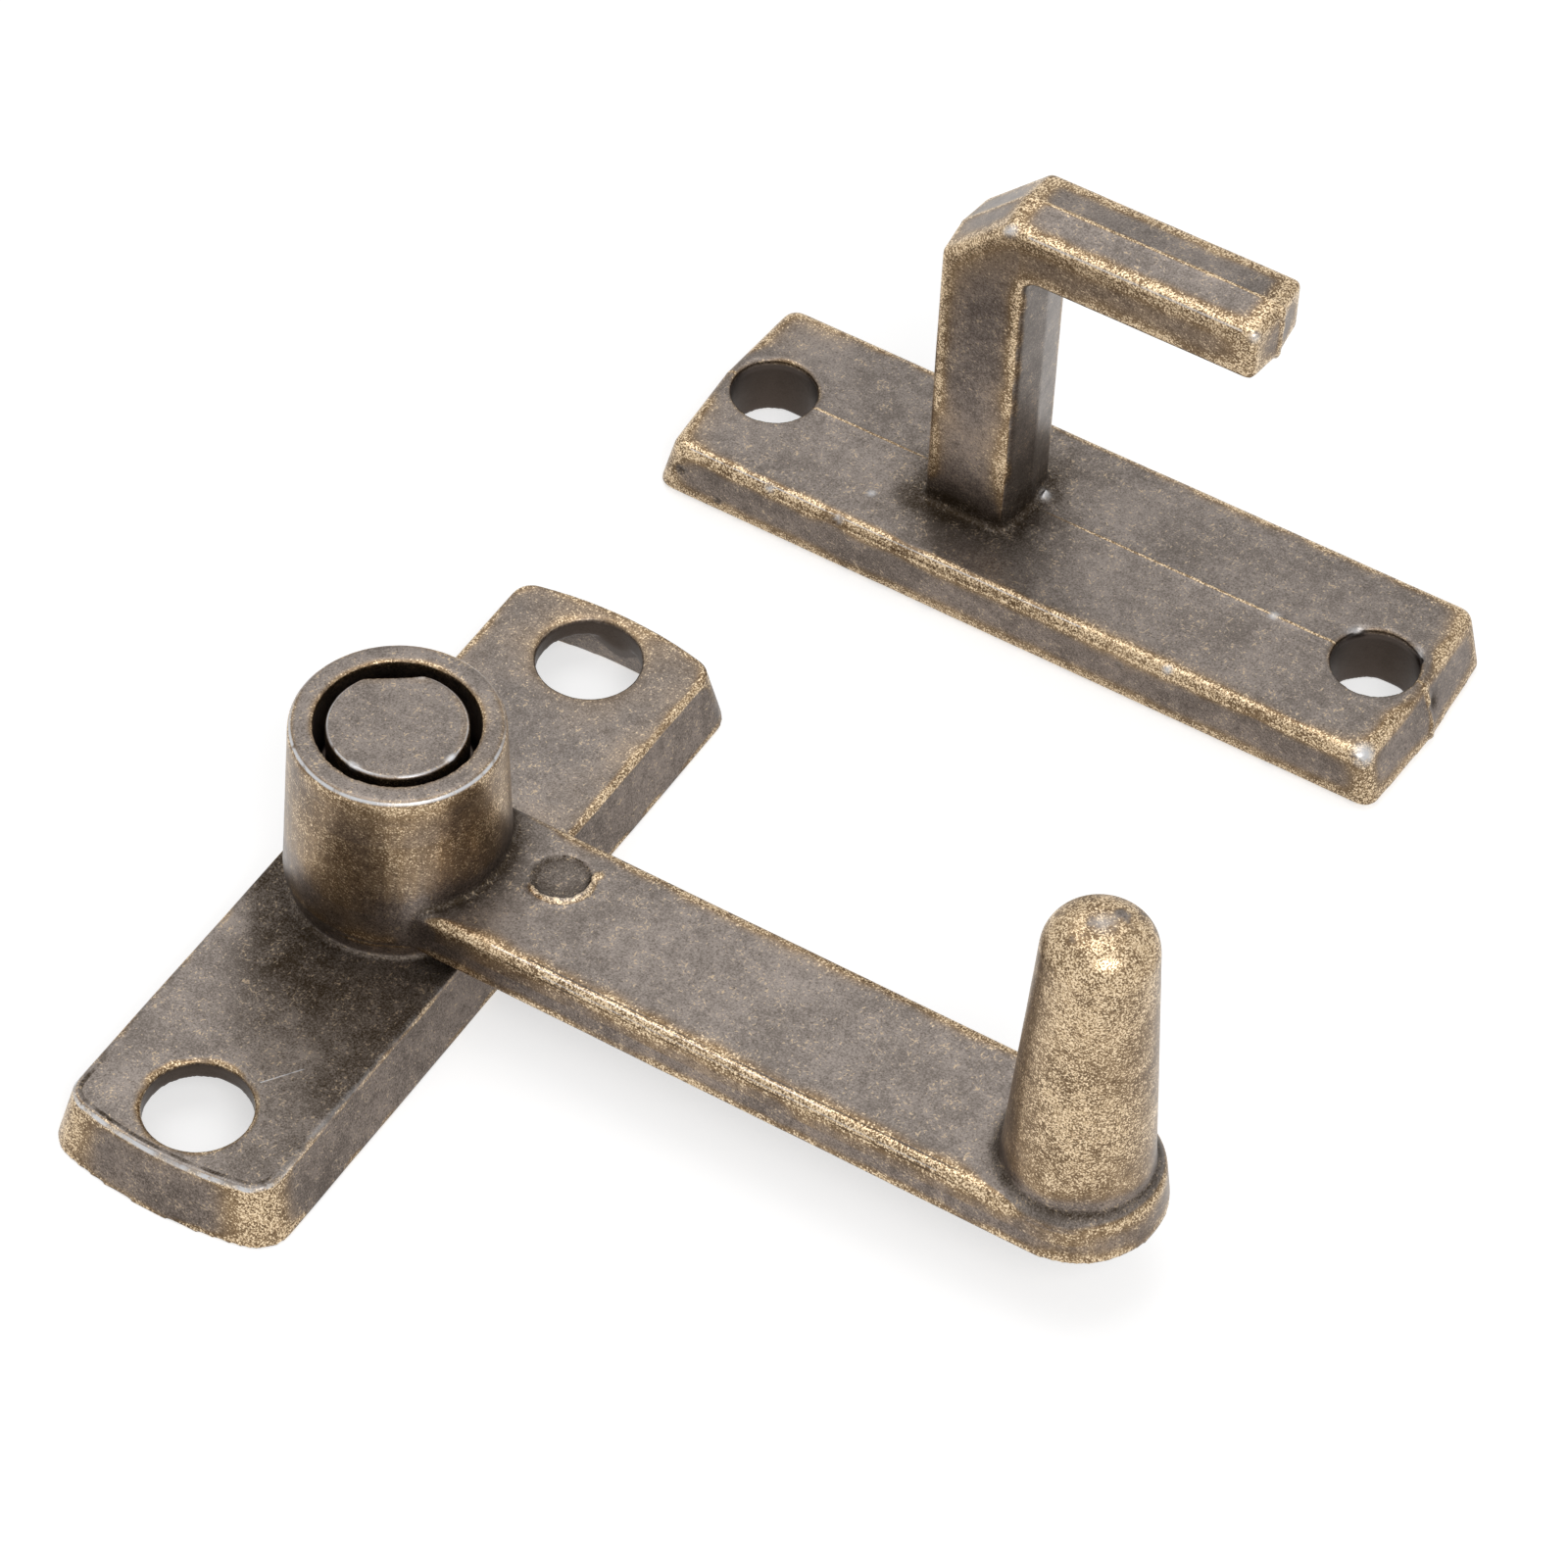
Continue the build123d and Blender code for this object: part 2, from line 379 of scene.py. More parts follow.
# %% Base plate lip
base = skins["base_plate"]
CREST_SIDE, CREST_END, CREST_HEIGHT = 5.656, 20.906, 3.385
CORNER_X, CORNER_Y, CORNER_RADIUS = 4.40, 19.17, 1.25
bx, by, bz = base.points.T
to_side = np.hypot(np.abs(bx) - CREST_SIDE, bz - CREST_HEIGHT)
to_end = np.hypot(np.hypot(bx, by) - CREST_END, bz - CREST_HEIGHT)
past_corner = np.hypot(np.abs(bx) - CORNER_X, np.abs(by) - CORNER_Y) - CORNER_RADIUS
past_straight = np.maximum(np.abs(bx) - CREST_SIDE, np.hypot(bx, by) - CREST_END)
in_corner = (np.abs(bx) > CORNER_X) & (np.abs(by) > CORNER_Y)
to_crest = np.where(in_corner, np.hypot(past_corner, bz - CREST_HEIGHT), np.minimum(to_side, to_end))
past_crest = np.where(in_corner, past_corner, past_straight)
base.push(0.11 * near(to_crest, 0.0, 0.36))
print("lip on", int((to_crest < 0.2).sum()), "points")

# %% Arm marks
arm = skins["swing_arm"]
MARK, MARK_RADIUS, BAR_TOP, LIP_TURN = (8.5, 1.45), 1.45, 7.15, math.radians(-50)
mx, my = arm.points[:, 0] - MARK[0], arm.points[:, 1] - MARK[1]
mark_reach, mark_turn = np.hypot(mx, my), np.arctan2(my, mx)
on_top = (np.abs(arm.points[:, 2] - BAR_TOP) < 0.4) * 1.0
# On the lip's side the mark is painted as brass and zinc further on, partly wear and partly a painted highlight.
lip_side = np.clip(np.cos(mark_turn - LIP_TURN), 0, 1) ** 0.6
lip = near(mark_reach, MARK_RADIUS + 0.08, 0.38) * on_top * lip_side
# Away from the lip the groove is painted darker, as shade.
groove = near(mark_reach, MARK_RADIUS - 0.10, 0.24) * on_top * (1 - 0.7 * lip_side)
crack = near(np.hypot(mx - 1.5, my - 1.1), 0.0, 0.45) * on_top
mark_disc = near(mark_reach, 0.0, 2 * MARK_RADIUS) ** 0.25 * (mark_reach < MARK_RADIUS) * on_top
arm.push(0.3 * lip * (0.75 + 0.5 * arm.rough(0.5, 2.0)) - 0.04 * mark_disc - 0.05 * groove + 0.08 * crack)
print("ejector mark lip on", int((lip > 0.1).sum()), "points")

# %% Rivet burrs
rivet = skins["pivot_rivet"]
HEAD_RADIUS, HEAD_TOP, BURR_TURNS, BURR_HALF = 3.53, 14.5, (106.0, -7.0, -95.0), 9.0
rx, ry, rz = rivet.points.T
head_turn = np.degrees(np.arctan2(ry, rx))
at_head_rim = near(np.hypot(np.hypot(rx, ry) - HEAD_RADIUS + 0.1, rz - HEAD_TOP + 0.05), 0.0, 0.35)
burrs = at_head_rim * sum(near(head_turn, turn, BURR_HALF) for turn in BURR_TURNS)
rivet.push(0.09 * burrs)
print("burrs on", int((burrs > 0.1).sum()), "points")

# %% [markdown]
# ## Where the finish wears
# The parts are plated, darkened and then tumbled, so the dark coat goes first from whatever stands out and stays in
# hollows. Comparing each point with a relaxed copy of the net measures just that, for edges and for hollows. Shade is
# painted in by distance too, around the foot of the boss, the grip and the keeper's post, under the boss's rim and on
# the lower sides, and it goes into the same dark layer as the coat in hollows. The material then only has to break
# these measures up with grain.

# %% Wear measures
NET_SCALE, EDGE_ROUNDS, SPREAD_ROUNDS, EDGE_UNIT, HOLLOW_UNIT, TOP_SHARE = 0.15, 46, 260, 0.075, 0.28, 0.55
wear = {}
for node, skin in skins.items():
    finer = (NET_SCALE / VOXELS[node]) ** 2
    rounds = int(EDGE_ROUNDS * finer)
    rise, facing_up = skin.rise(rounds), skin.normals[:, 2]
    # This measure of recesses is where the real coat stays; painted shade joins it in the same layer further on.
    hollow = skin.relaxed(np.clip(-rise, 0, None), rounds // 2)
    edge = np.clip(rise / EDGE_UNIT, 0, 1)
    spread = skin.relaxed(edge, int(SPREAD_ROUNDS * finer))
    edge *= np.clip(0.85 + 0.8 * skin.rough(1.7, 11.0), 0.3, 1.2)
    edge *= np.where(facing_up > 0.9, np.clip(TOP_SHARE + (1 - facing_up) / 0.1, TOP_SHARE, 1), 1.0)
    wear[node] = {"edge": edge, "spread": spread, "hollow": hollow / HOLLOW_UNIT, "side": 1 - np.abs(facing_up),
                  "rub": 0 * rise, "bare": 0 * rise, "bore": 0 * rise}
    print(node, "rise", np.percentile(rise, [1, 50, 95, 99]).round(3),
          "hollow", np.percentile(hollow, [95, 99]).round(3))

# %% [markdown]
# ## Painted places
# The measures are then adjusted where a hand or the tumbling did more or less, and where shade is painted in: rub
# shows brass, bare shows zinc, hollow keeps the coat dark and carries the painted shade, bore is the dull wall of a
# hole and is painted darker deeper down the counterbore and the rivet's shank, and line tells where a thin line may
# show.

# %% Grip
GRIP_X, GRIP_LOW, GRIP_TOP, GRIP_FOOT, GRIP_REACH, CAP_LOW = 38.3, 7.6, 24.0, 4.0, 4.1, 21.9
FLANK_SHADE_TURN = math.radians(209)
ax, ay, az = arm.points.T
worn = wear["swing_arm"]
grip_reach = np.hypot(ax - GRIP_X, ay)
by_grip = grip_reach < GRIP_REACH
on_grip = by_grip * np.clip((az - GRIP_LOW) / 1.5, 0, 1)
# Painted shade on the grip's left and right sides as the camera sees them: less rub there.
shaded_flank = np.abs(np.cos(np.arctan2(ay, ax - GRIP_X) - FLANK_SHADE_TURN))
cap = by_grip * np.clip((az - CAP_LOW) / 0.5, 0, 1)
cap_patches = arm.rough(0.75, 6.0) + 0.6 * arm.rough(0.35, 8.0)
# Painted shade in a thin dark ring just under the cap's edge, with less rub there.
cap_foot = by_grip * near(az, CAP_LOW - 0.1, 0.55) * np.clip(0.6 + 1.2 * arm.rough(0.8, 9.0), 0, 1)
grip_rub = 0.62 - 0.20 * np.clip((13 - az) / 5, 0, 1) - 0.36 * shaded_flank ** 1.6 + 0.12 * arm.rough(2.2, 12.0)
grip_rub += cap * (0.55 * cap_patches - 0.12) - 0.3 * cap_foot
worn["rub"] += grip_rub * on_grip
worn["edge"] *= np.where(by_grip & (az > GRIP_LOW + 8), 0.45, 1.0)
worn["hollow"] += cap * np.clip(-0.35 * cap_patches - 0.05, 0, 0.3) + 0.18 * cap_foot
worn["bare"] += 0.35 * near(grip_reach, 0.0, 0.95) * (az > GRIP_TOP - 0.5)
print("grip points", int((on_grip > 0.5).sum()))

# %% Boss
BOSS_TOP, BOSS_FOOT, BOSS_LOW, BOSS_REACH, COUNTERBORE, RING = 14.6, 5.75, 4.65, 6.0, 4.07, 4.72
boss_reach, boss_turn = np.hypot(ax, ay), np.degrees(np.arctan2(ay, ax))
by_boss = boss_reach < BOSS_REACH
on_boss = by_boss * (boss_reach > 4.6) * np.clip((az - 6.5) / 4, 0, 1) * worn["side"]
on_ring = near(boss_reach, RING, 0.5) * (arm.normals[:, 2] > 0.8) * (az > BOSS_TOP - 0.3)
counterbore_rim = near(np.hypot(boss_reach - COUNTERBORE, az - BOSS_TOP), 0.0, 0.3)
boss_low = near(np.hypot(boss_reach - BOSS_FOOT, az - BOSS_LOW), 0.0, 0.6)
in_counterbore = (boss_reach < COUNTERBORE + 0.12) & (az < BOSS_TOP - 0.1)
bright_arcs = np.clip(near(boss_turn, -105, 80) + near(boss_turn, -12, 45) + 0.3, 0, 1)
worn["rub"] += 0.38 * on_boss + 0.3 * (on_ring * near(boss_turn, 10, 75) + 0.8 * counterbore_rim)
worn["edge"] *= (1 - 0.75 * on_ring) * (1 - 0.8 * boss_low)
worn["edge"] *= np.where(by_boss & (az > BOSS_TOP - 1.6), 0.45, 1.0)
worn["spread"] *= np.where(by_boss & (az > BOSS_TOP - 3.0), 0.35, 1.0)
# Painted shade under the boss's bottom rim, where it meets the plate.
worn["hollow"] += 0.45 * boss_low + 0.18 * on_ring
worn["hollow"] = np.where(in_counterbore, 0.0, worn["hollow"])
# The counterbore's wall is painted darker deeper down, as shade.
worn["bore"] = in_counterbore * np.clip((BOSS_TOP - az) / 4, 0.1, 0.7)
worn["line"] = bright_arcs * (az > BOSS_TOP - 1) + on_top * (mark_reach < 2)
print("boss points", int((on_boss > 0.5).sum()))

# %% Bar
NEAR_EDGE = -4.1
near_band = near(ay, NEAR_EDGE, 1.5) * (ax > 5) * (az > BAR_TOP - 1.3)
near_band *= np.clip(0.75 + 0.7 * arm.rough(1.4, 14.0), 0.2, 1.2)
bar_top = np.clip(2 * arm.normals[:, 2], 0, 1) * (np.abs(az - BAR_TOP) < 0.6) * (boss_reach > BOSS_FOOT - 0.6)
# Painted shade on the bar's top around the foot of the boss and of the grip.
feet_shade = 0.55 * fade(boss_reach - BOSS_FOOT, 1.6) + 0.75 * fade(grip_reach - GRIP_FOOT + 0.2, 0.35)
# The lip's brass and zinc are partly a painted highlight, and the groove's darkness is painted shade.
worn["rub"] += 0.42 * near_band * (grip_reach > GRIP_REACH + 0.2) + 1.5 * lip + 0.6 * crack
worn["edge"] *= 1 - 0.35 * near_band
worn["spread"] *= np.where((az < BAR_TOP - 0.4) & (worn["side"] > 0.5), 0.35, 1.0)
worn["hollow"] += bar_top * feet_shade + 0.30 * mark_disc + 0.25 * groove
worn["bare"] += 0.3 * lip ** 2
print("near edge points", int((near_band > 0.5).sum()))

# %% Dark coat and painted shade on the base plate
BASE_HOLE_Y, BASE_HOLE_RADIUS, BASE_HOLE_RIM = 17.5, 2.85, 3.45
PAD_RADIUS, PAD_TOP, TOP_LOW, NEAR_END, FAR_END, END_CORNER = 5.4, 4.6, 2.6, -18.0, 5.0, (5.0, -20.0)
bx, by, bz = base.points.T
worn = wear["base_plate"]
base_hole, pad_reach = np.hypot(bx, np.abs(by) - BASE_HOLE_Y), np.hypot(bx, by)
# Painted shade on the plate's top around the boss, reaching further towards the near end and towards positive x.
near_side = np.clip(0.5 - by / 8, 0, 1)
dark_length = 1.8 + near_side * (4.1 + 4.2 * np.clip(bx / 5, -0.9, 1))
boss_shade = fade(pad_reach - PAD_RADIUS, dark_length) * (1 + 0.35 * base.rough(1.6, 7.0))
top_facing = np.clip(2.2 * base.normals[:, 2] - 1, 0, 1) * (bz > TOP_LOW)
near_corners = near(np.hypot(np.abs(bx) - END_CORNER[0], by - END_CORNER[1]), 0.0, 2.7) * worn["side"]
worn["hollow"] += top_facing * (0.05 + 1.65 * near_side) * boss_shade
# Painted shade on the lower sides of the plate.
worn["hollow"] += np.where(by < NEAR_END, 0.44, 0.48) * worn["side"] * (bz < 3.2)
# Painted shade at the pad's foot, under the rim of the boss.
worn["hollow"] += 0.5 * near(np.hypot(pad_reach - PAD_RADIUS - 0.05, bz - PAD_TOP), 0.0, 0.5)
worn["hollow"] *= 1 - np.clip(1.3 * near_corners, 0, 1)
worn["bore"] = (base_hole < 2.9) * (bz < 3.25) * 1.0
print("base hole points", int(worn["bore"].sum()))

# %% Worn metal on the base plate
on_far = by > FAR_END
crest = near(to_crest, 0.0, 0.23)
crest_bare = np.where(by < -BASE_HOLE_Y, 0.2, np.where(bx > 0, 0.36, 0.1)) * (by < -5)
crest_bare *= np.clip(0.75 + 1.1 * base.rough(0.9, 13.0), 0.15, 1.1)
beside_crest = near(to_crest, 0.0, 0.8) * np.clip(0.4 + 1.2 * base.rough(1.1, 15.0), 0, 1)
hole_gold = near(np.hypot(base_hole - BASE_HOLE_RADIUS, bz - BASE_HOLE_RIM), 0.0, 0.45)
hole_gold *= np.clip(0.7 + 0.8 * base.rough(0.7, 16.0), 0, 1.2)
by_hole = np.where(on_far, 0.75, 0.5) * near(base_hole, 2.8, 1.2)
worn["edge"] = np.where(bz > TOP_LOW, 0.75, 0.9) * worn["edge"] ** 2.5 * (1 - by_hole)
worn["spread"] *= 0.5
worn["bare"] = crest * crest_bare + 0.02 * top_facing * on_far
worn["rub"] = 0.95 * near_corners + np.where(on_far, 0.2, 0.45) * beside_crest
worn["rub"] += on_far * (0.3 * crest * np.where(bx > 0, 1.0, 0.4) + 0.33 * top_facing)
worn["rub"] += np.where(by > 0, 0.08, 0.65) * hole_gold + 0.44 * worn["side"] * (by < NEAR_END)
worn["past"] = past_crest
worn["line"] = near(to_crest, 0.0, 1.3) * np.clip((-16.0 - by) / 3.5, 0, 1)
worn["line"] *= np.clip(0.8 + 0.9 * base.rough(0.8, 13.0), 0.1, 1)
print("bare points on the base plate", int((worn["bare"] > 0.1).sum()))

# %% Dark coat and painted shade on the keeper
POST_X, POST_HALF, PLATE_TOP = -5.03, 2.6, 4.0
worn = wear["keeper"]
keeper_hole, off_post = np.hypot(np.abs(kx) - HOLE_X, ky), np.abs(kx - POST_X)
post_gap = np.hypot(np.clip(off_post - POST_HALF, 0, None), np.clip(np.abs(ky) - POST_HALF, 0, None))
foot = (kz > PLATE_EDGE) * (kz < 5.5) * fade(post_gap, 2.3) * fade(kz - PLATE_TOP, 0.8)
post_low = (kz > 3.8) * (kz < 20) * (off_post < 3.0) * fade(kz - PLATE_TOP, 1.6)
post_facet_shade = (knx > 0.5) * (kx > -3.6) * (kx < 0) * (kz > 4.2) * (kz < 21.5)
# Painted shade on the plate around the foot of the post; the pit and the dimples keep the dark coat.
worn["hollow"] += 0.85 * foot * (1 + 0.35 * keeper.rough(1.2, 3.0)) + 0.9 * pit + 0.5 * dimples
# Painted shade on the plate's lower sides and on the lower part of the post.
worn["hollow"] += worn["side"] * (0.32 * (kz < PLATE_EDGE) + 0.5 * post_low)
# Painted shade on the post's right-hand facets, more on the near one and darker towards the bottom.
worn["hollow"] += post_facet_shade * (0.2 * (ky < -0.1) + 0.5 * fade(kz - PLATE_TOP, 4.0))
worn["hollow"] *= 1 - nub
# The right-hand facets take the coat of upward faces instead of the shaded side copy, as part of that painted shade.
worn["side"] = np.where(post_facet_shade, 0.0, worn["side"])
worn["bore"] = (keeper_hole < 2.42) * (kz < 3.35) * 1.0
print("keeper hole points", int(worn["bore"].sum()))

# %% Worn metal on the keeper
FINGER_HALF, FINGER_TOP, FINGER_SPAN, CORNER = 2.4, 24.5, (-3.7, 10.1), (20.4, -5.7, 3.4, 0.9)
BARE_SPOTS = ((-14.6, -6.1, 3.5, 0.4), (-10.4, -6.1, 3.5, 0.4), (9.2, -6.1, 3.5, 0.4), (12.1, 0.0, 3.82, 0.4),
              (10.3, -2.4, 24.6, 0.6), (-3.7, -2.4, 24.6, 0.6), (-9.8, -3.7, 3.75, 0.35))
low_edge = near(kz, 0.1, 1.55) * worn["side"] * (np.abs(knz) < 0.7)
finger_side = (kz > 20.8) * (np.abs(kny) > 0.7) * (kx > -3)
finger_ends = np.maximum(near(kx, FINGER_SPAN[0], 1.1), near(kx, FINGER_SPAN[1], 1.3))
finger_frame = np.maximum(near(np.abs(ky), FINGER_HALF - 0.05, 1.2), finger_ends)
finger_top = (kz > 23.6) * (knz > 0.6) * finger_frame * np.clip(0.7 + 0.7 * keeper.rough(1.2, 17.0), 0.1, 1.2)
finger_edge = near(np.hypot(np.abs(ky) - FINGER_HALF, kz - FINGER_TOP), 0.0, 1.1) * (kx > -4)
finger_edge *= np.clip(0.7 + 0.8 * keeper.rough(1.0, 19.0), 0, 1.2)
post_front = (kny < -0.7) * (kz > 5) * (kx < -2.6)
worn["edge"] *= 1 - 0.6 * near(keeper_hole, 2.7, 0.8) * (kz > PLATE_EDGE)
worn["spread"] *= 1 - 0.6 * near(keeper_hole, 2.4, 1.4)
worn["bare"] = np.clip(keeper_spots([CORNER]) + nub + 0.6 * chips + 0.8 * keeper_spots(BARE_SPOTS), 0, 1)
worn["rub"] = 0.5 * end_seam + 0.7 * low_edge + 0.12 * finger_side + 0.82 * finger_top + 0.42 * finger_edge
# The post's right-hand facets take less rub, as part of their painted shade.
worn["rub"] += 0.03 * post_front - 0.3 * post_facet_shade
worn["seam"] = near(ky, 0.0, 0.35) * (knz > 0.5) * (kz > PLATE_EDGE)
print("bare points on the keeper", int((worn["bare"] > 0.1).sum()))

# %% Rivet
worn = wear["pivot_rivet"]
height = rivet.points[:, 2]
# The rivet's shank is painted darker further down its bore, as shade.
worn["bore"] = np.clip((HEAD_TOP - 0.35 - height) / 4, 0, 0.5)
worn["spread"] *= 0.4
worn["hollow"] += 0.2 * (height > HEAD_TOP - 0.2)
worn["bare"] = np.clip(1.2 * burrs, 0, 1)
worn["line"] = (height > HEAD_TOP - 0.5) * np.clip(0.6 + 0.5 * rivet.rough(1.1, 5.0), 0.25, 0.85)
print("rivet head points", int((height > HEAD_TOP - 0.2).sum()))

# %% Paint the measures
LOWEST, HIGHEST = {"rub": -1, "past": -3}, 3
for node, layers in wear.items():
    for title, values in layers.items():
        skins[node].paint(title, np.clip(values, LOWEST.get(title, 0), HIGHEST))
print("painted", {node: list(layers) for node, layers in wear.items()})

# %% [markdown]
# ## Aged brass finish
# One finish covers all four pieces, so its parts are node groups: the grain that everything is broken up with,
# the rub that shows brass through the dark coat, and the finish that turns both into colour, roughness and relief.

# %% Grain group
tree, came, goes = new_group("casting_grain", {"Vector": "Vector"},
                             {"Grain": "Float", "Streak": "Float", "Mottle": "Float", "Cloud": "Float"})


def grain_noise(scale, detail, roughness, stretch=(1, 1, 1), turn=(0, 0, 0)):
    values = {"Vector": came["Vector"], "Rotation": turn, "Scale": stretch}
    place = add(tree, "Mapping", values, vector_type="TEXTURE").outputs[0]
    values = {"Vector": place, "Scale": scale, "Detail": detail, "Roughness": roughness}
    return add(tree, "TexNoise", values).outputs[0]


# Scales are features per metre.
GRAIN_SCALE, STREAK_SCALE, MOTTLE_SCALE, CLOUD_SCALE, STREAK_STRETCH = 11000, 10300, 1300, 230, (3.6, 1, 1)
STREAK_TURNS = ((0.3, 0.4, 0.35), (-0.4, 0.3, 1.4), (0.3, -0.5, 2.45))
streaks = [grain_noise(STREAK_SCALE, 0, 0.5, stretch=STREAK_STRETCH, turn=turn) for turn in STREAK_TURNS]
put(tree, goes["Grain"], grain_noise(GRAIN_SCALE, 2, 0.6))
put(tree, goes["Streak"], calc(tree, "MAXIMUM", calc(tree, "MAXIMUM", streaks[0], streaks[1]), streaks[2]))
put(tree, goes["Mottle"], grain_noise(MOTTLE_SCALE, 2, 0.65))
put(tree, goes["Cloud"], grain_noise(CLOUD_SCALE, 2, 0.55))
grain_group = tree
print("group", tree.name)

# %% Rub group
# Each kind of grain has its middle and its weight in the rub.
RUB_GRAIN = (("Grain", 0.5, 2.7), ("Streak", 0.64, 1.9), ("Mottle", 0.5, 0.9))
tree, came, goes = new_group(
    "brass_rub", {"Edge": "Float", "Spread": "Float", "Hollow_And_Shade": "Float", "Rub": "Float", "Side": "Float",
                  "Grain": "Float", "Streak": "Float", "Mottle": "Float", "Cloud": "Float", "Edge Gain": "Float",
                  "Start": "Float"},
    {"Brass": "Float", "Worn": "Float"})
level = calc(tree, "MULTIPLY_ADD", came["Edge"], came["Edge Gain"], came["Rub"])
level = calc(tree, "MULTIPLY_ADD", came["Spread"], 0.8, level)
level = calc(tree, "MULTIPLY_ADD", came["Side"], 0.08, level)
level = calc(tree, "MULTIPLY_ADD", calc(tree, "SUBTRACT", came["Cloud"], 0.5), 0.65, level)
level = calc(tree, "MULTIPLY_ADD", came["Hollow_And_Shade"], -0.9, level)
put(tree, goes["Worn"], span(tree, calc(tree, "MULTIPLY_ADD", came["Side"], 0.1, level), 0.25, 1.0))
level = calc(tree, "MINIMUM", level, 1.2)
for name, middle, weight in RUB_GRAIN:
    level = calc(tree, "MULTIPLY_ADD", calc(tree, "SUBTRACT", came[name], middle), weight, level)
level = calc(tree, "SUBTRACT", level, came["Start"])
put(tree, goes["Brass"], span(tree, level, 0.12, 0.62))
rub_group = tree
print("group", tree.name)

# %% Finish group
PATINA_DARK, PATINA, FLECK = (0.134, 0.114, 0.100, 1), (0.281, 0.243, 0.217, 1), (0.445, 0.345, 0.235, 1)
# Sideways faces get their own copy of the coat, darker and warmer: painted shade for how light falls on them.
SHADED_SIDE_DARK, SHADED_SIDE_COAT = (0.112, 0.090, 0.077, 1), (0.298, 0.245, 0.211, 1)
WORN_DARK, WORN_COAT, PITTED = (0.150, 0.097, 0.054, 1), (0.360, 0.252, 0.147, 1), (0.070, 0.053, 0.042, 1)
BRASS_DEEP, BRASS = (0.380, 0.248, 0.117, 1), (0.90, 0.720, 0.495, 1)
ZINC_AND_HIGHLIGHT, HOLLOW_COAT_AND_SHADE, BORE_WALL_AND_SHADE = (0.58, 0.585, 0.60, 1), (0.033, 0.022, 0.012, 1), (0.10, 0.078, 0.066, 1)
COAT_GRAIN = (("Streak", 0.5), ("Mottle", 0.55), ("Cloud", 0.6))
tree, came, goes = new_group(
    "aged_finish", {"Brass": "Float", "Worn": "Float", "Hollow_And_Shade": "Float", "Bare_And_Highlight": "Float", "Bore": "Float",
                    "Side": "Float", "Grain": "Float", "Streak": "Float", "Mottle": "Float", "Cloud": "Float"},
    {"Color": "Color", "Roughness": "Float", "Height": "Float"})
coat = came["Grain"]
for name, weight in COAT_GRAIN:
    coat = calc(tree, "MULTIPLY_ADD", came[name], weight, coat)
coat = span(tree, coat, 1.08, 1.68)
# Painted side shade: faces that look sideways blend into their shaded copy of the coat.
side_shade = span(tree, came["Side"], 0.25, 0.85)
colour = blend_colour(tree, side_shade, blend_colour(tree, coat, PATINA_DARK, PATINA),
                      blend_colour(tree, coat, SHADED_SIDE_DARK, SHADED_SIDE_COAT))
colour = blend_colour(tree, came["Worn"], colour, blend_colour(tree, coat, WORN_DARK, WORN_COAT))
pits = calc(tree, "SUBTRACT", 1.0, span(tree, came["Grain"], 0.24, 0.38))
colour = blend_colour(tree, calc(tree, "MULTIPLY", pits, 0.75), colour, PITTED)
clustered = calc(tree, "MULTIPLY_ADD", calc(tree, "SUBTRACT", came["Mottle"], 0.5), 0.5, came["Streak"])
fleck_share = calc(tree, "MULTIPLY_ADD", came["Bore"], -0.8, 0.8)
flecks = calc(tree, "MULTIPLY", span(tree, clustered, 0.76, 0.85), fleck_share)
colour = blend_colour(tree, flecks, colour, FLECK)
brass = blend_colour(tree, span(tree, came["Grain"], 0.34, 0.66), BRASS_DEEP, BRASS)
colour = blend_colour(tree, came["Brass"], colour, brass)
bare = calc(tree, "MULTIPLY", came["Bare_And_Highlight"], span(tree, came["Mottle"], 0.26, 0.46))
colour = blend_colour(tree, bare, colour, ZINC_AND_HIGHLIGHT)
colour = blend_colour(tree, came["Bore"], colour, BORE_WALL_AND_SHADE)
# The dark layer blends towards the near-black colour: the real coat in recesses, and painted shade where it was
# added.
dark_share = calc(tree, "MULTIPLY_ADD", coat, -0.42, 1.0)
dark = calc(tree, "MULTIPLY", span(tree, came["Hollow_And_Shade"], 0.0, 1.0), dark_share)
colour = blend_colour(tree, dark, colour, HOLLOW_COAT_AND_SHADE)
colour = blend_colour(tree, calc(tree, "MULTIPLY", flecks, 0.42), colour, FLECK)
put(tree, goes["Color"], colour)
rough = calc(tree, "MULTIPLY_ADD", came["Grain"], 0.16, 0.27)
rough = calc(tree, "MULTIPLY_ADD", dark, 0.3, rough)
put(tree, goes["Roughness"], calc(tree, "MULTIPLY_ADD", came["Brass"], -0.05, rough))
put(tree, goes["Height"], calc(tree, "MULTIPLY_ADD", came["Mottle"], 0.7, came["Grain"]))
finish_group = tree
print("group", tree.name)

# %% [markdown]
# ## Thin lines
# Some marks are thinner than the net of the skins, such as the bare metal along a sharp rim, a scratch or a painted
# highlight along an edge. Painted on the net they would smear, so they are drawn by distance instead: how far a point
# is from a circle, from a straight stroke, or from the base plate's crest, which is painted as a distance. Bright
# lines show bare zinc, and along the arm's near edge, the keeper's crest and the keeper's finger they are painted
# highlights.
# Dull ones keep the dark coat, and along the arm's near edge they are painted dark bands of reflection. The places
# are those of the part itself, so the lines stay where they are in every view.

# %% Line groups
def thin_line(tree, away, half, core):
    """1 up to a share of the half width, falling smoothly to 0 at all of it."""
    return calc(tree, "SUBTRACT", 1.0, span(tree, away, calc(tree, "MULTIPLY", half, core), half))


